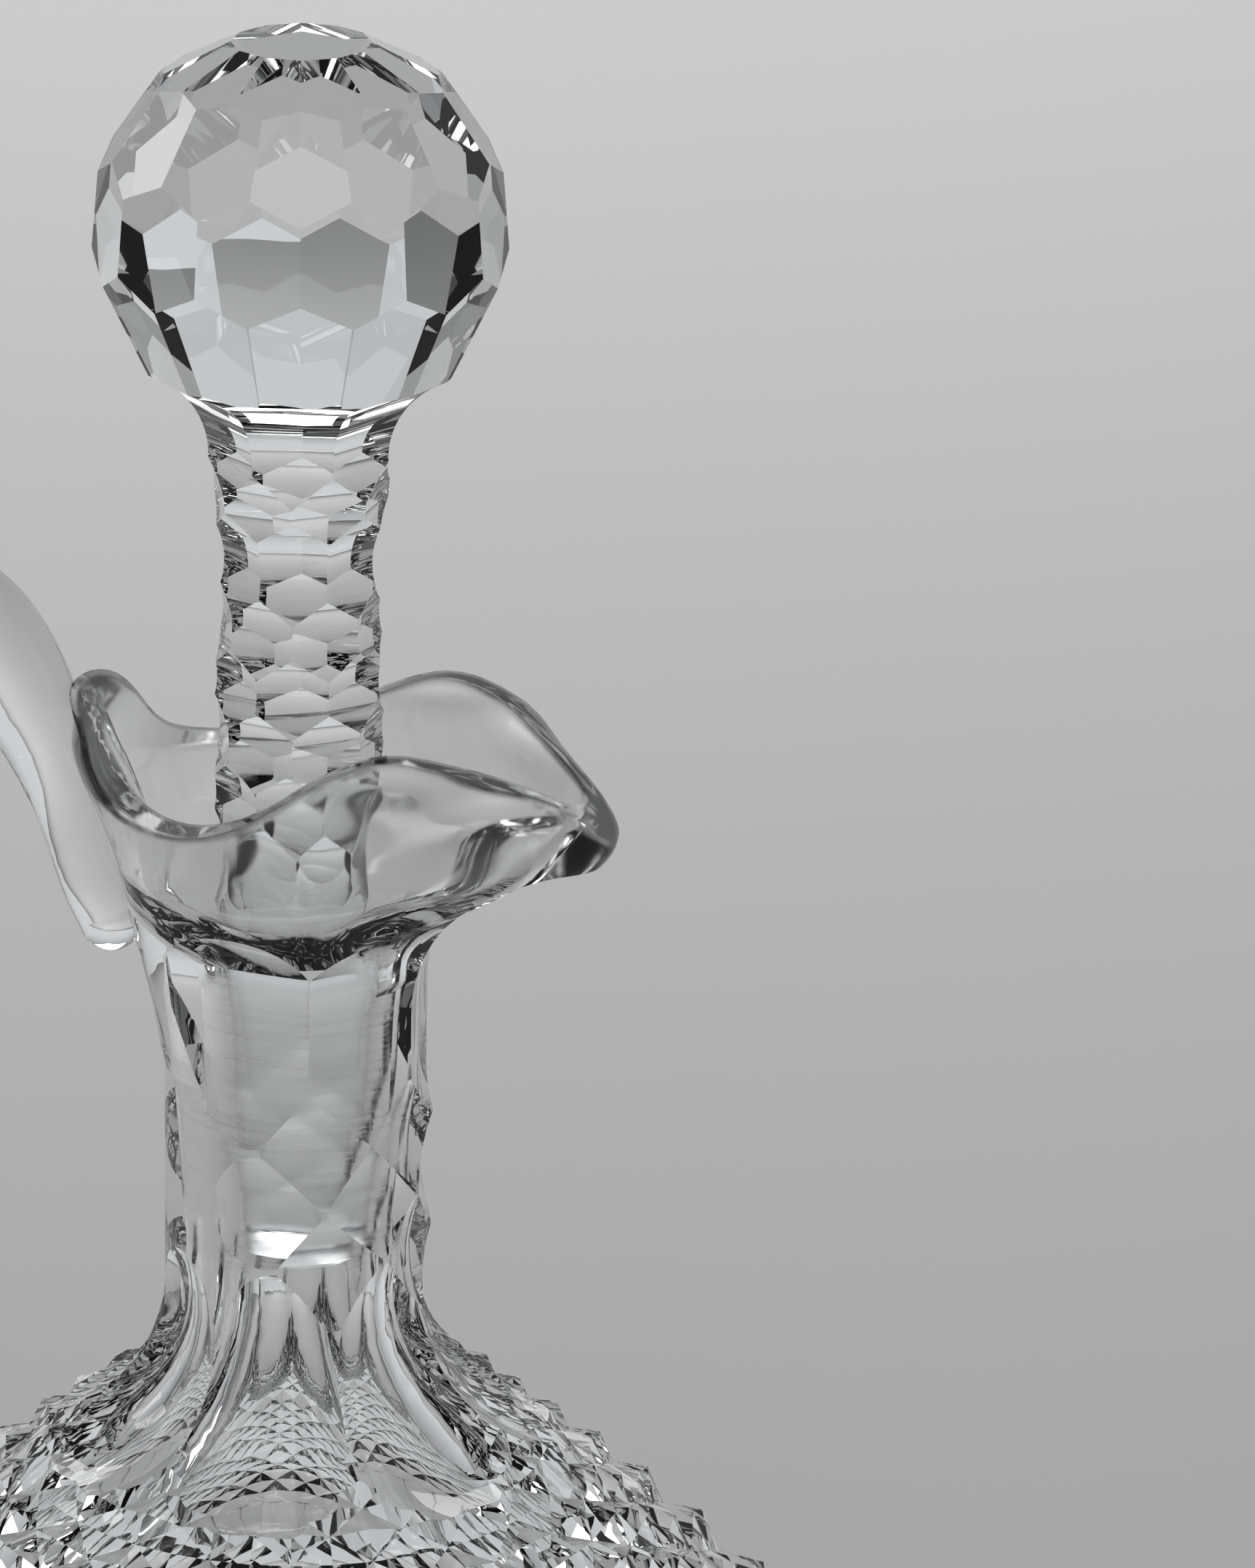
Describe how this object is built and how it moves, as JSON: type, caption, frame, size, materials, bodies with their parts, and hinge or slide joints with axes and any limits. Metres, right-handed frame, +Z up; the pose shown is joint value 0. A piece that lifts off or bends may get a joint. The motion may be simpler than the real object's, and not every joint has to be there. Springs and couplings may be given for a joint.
{
  "type": "cut glass claret jug",
  "caption": "Cut glass jug with a spouted mouth, a bent rod handle and a tall ground stopper with a faceted ball, which lifts out of the neck.",
  "frame": {"origin": "middle of the base, on the surface the jug stands on", "axes": "+Z up along the neck, +X towards the spout, -X towards the handle"},
  "size_m": [0.1626, 0.1502, 0.2932],
  "materials": {
    "vessel": "cut and polished clear lead glass, with a ground seat inside the neck",
    "handle": "fire-polished clear lead glass",
    "stopper": "cut and polished clear lead glass, with a ground peg"
  },
  "bodies": {
    "vessel": {"vessel": "vessel", "handle": "handle"},
    "stopper": {"stopper": "stopper"}
  },
  "joints": [
    {"name": "stopper_lift", "type": "slide", "parent": "vessel", "child": "stopper", "axis": [0, 0, 1], "range_m": [0, 0.1]}
  ]
}
